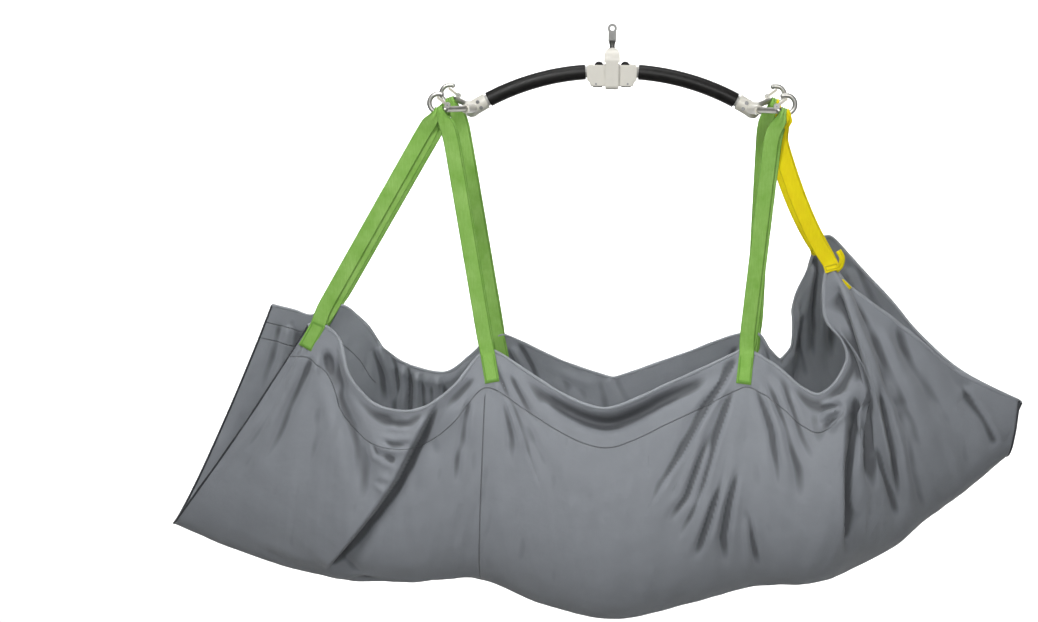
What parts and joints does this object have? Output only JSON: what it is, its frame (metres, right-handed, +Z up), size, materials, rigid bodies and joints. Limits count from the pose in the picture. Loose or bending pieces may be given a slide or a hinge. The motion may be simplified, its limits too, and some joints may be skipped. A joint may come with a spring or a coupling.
{
  "type": "patient lift spreader bar with sling",
  "caption": "Curved patient lift spreader bar on a swivel eye, with gated hooks and webbing straps that hold a full-length grey hammock sling open for a lying person.",
  "frame": {"origin": "centre of the lifting eye's bore", "axes": "+X along the bar towards the head end, -Y the near side, +Z up towards the lift"},
  "size_m": [1.6838, 0.417, 1.164],
  "materials": {
    "eye_steel": "satin",
    "bearing_bronze": "machined",
    "cream_paint": "semi-gloss",
    "cream_plastic": "satin moulded",
    "gate_plastic": "satin moulded",
    "fastener_steel": "zinc plated",
    "frame_steel": "satin",
    "grip_foam": "closed-cell foam",
    "black_rubber": "matte",
    "hook_steel": "polished",
    "yellow_webbing": "woven",
    "green_webbing": "woven",
    "sling_cloth": "satin woven",
    "edge_tape": "folded tape"
  },
  "bodies": {
    "eye": {"swivel_eye": "eye_steel", "swivel_nut": "fastener_steel"},
    "yoke": {"hanger_yoke": "cream_paint", "swivel_bush": "bearing_bronze", "thrust_washer": "bearing_bronze", "pivot_pin": "fastener_steel", "pivot_retainer": "fastener_steel"},
    "gate_left_near": {"gate_left_near": "gate_plastic"},
    "gate_left_far": {"gate_left_far": "gate_plastic"},
    "gate_right_near": {"gate_right_near": "gate_plastic"},
    "gate_right_far": {"gate_right_far": "gate_plastic"},
    "bar": {"hub_block": "frame_steel", "hub_shell_front": "cream_plastic", "hub_shell_rear": "cream_plastic", "hub_screws": "fastener_steel", "pivot_bush_front": "bearing_bronze", "pivot_bush_rear": "bearing_bronze", "tilt_buffer_left": "black_rubber", "tilt_buffer_right": "black_rubber", "hub_base_seal": "black_rubber", "arm_tube_left": "frame_steel", "arm_tube_right": "frame_steel", "grip_left": "grip_foam", "grip_right": "grip_foam", "fork_left": "cream_paint", "fork_right": "cream_paint", "fork_screws_left": "fastener_steel", "fork_screws_right": "fastener_steel", "hook_left_near": "hook_steel", "hook_left_far": "hook_steel", "hook_right_near": "hook_steel", "hook_right_far": "hook_steel", "gate_pin_left_near": "fastener_steel", "gate_pin_left_far": "fastener_steel", "gate_pin_right_near": "fastener_steel", "gate_pin_right_far": "fastener_steel", "gate_spring_left_near": "fastener_steel", "gate_spring_left_far": "fastener_steel", "gate_spring_right_near": "fastener_steel", "gate_spring_right_far": "fastener_steel", "strap_foot_near": "green_webbing", "strap_foot_far": "green_webbing", "strap_thigh_near": "green_webbing", "strap_thigh_far": "green_webbing", "strap_hip_near": "green_webbing", "strap_hip_far": "green_webbing", "strap_head_near": "yellow_webbing", "strap_head_far": "yellow_webbing", "sling_leg_panel": "sling_cloth", "sling_seat_panel": "sling_cloth", "sling_back_panel": "sling_cloth", "sling_head_panel": "sling_cloth", "edge_binding_near": "edge_tape", "edge_binding_far": "edge_tape"}
  },
  "joints": [
    {"name": "eye_swivel", "type": "hinge", "parent": "eye", "child": "yoke", "pos_m": [0, 0, -0.05], "axis": [0, 0, 1], "continuous": true},
    {"name": "bar_tilt", "type": "hinge", "parent": "yoke", "child": "bar", "pos_m": [0, 0, -0.088], "axis": [0, 1, 0], "range_deg": [-8, 8]},
    {"name": "gate_left_near_hinge", "type": "hinge", "parent": "bar", "child": "gate_left_near", "pos_m": [-0.30337, -0.12, -0.13653], "axis": [0, -1, 0], "range_deg": [0, 22], "stiffness_Nm_per_rad": 0.05, "springref_deg": -28.65},
    {"name": "gate_left_far_hinge", "type": "hinge", "parent": "bar", "child": "gate_left_far", "pos_m": [-0.30337, 0.12, -0.13653], "axis": [0, -1, 0], "range_deg": [0, 22], "stiffness_Nm_per_rad": 0.05, "springref_deg": -28.65},
    {"name": "gate_right_near_hinge", "type": "hinge", "parent": "bar", "child": "gate_right_near", "pos_m": [0.30337, -0.12, -0.13653], "axis": [0, 1, 0], "range_deg": [0, 22], "stiffness_Nm_per_rad": 0.05, "springref_deg": -28.65},
    {"name": "gate_right_far_hinge", "type": "hinge", "parent": "bar", "child": "gate_right_far", "pos_m": [0.30337, 0.12, -0.13653], "axis": [0, 1, 0], "range_deg": [0, 22], "stiffness_Nm_per_rad": 0.05, "springref_deg": -28.65}
  ]
}
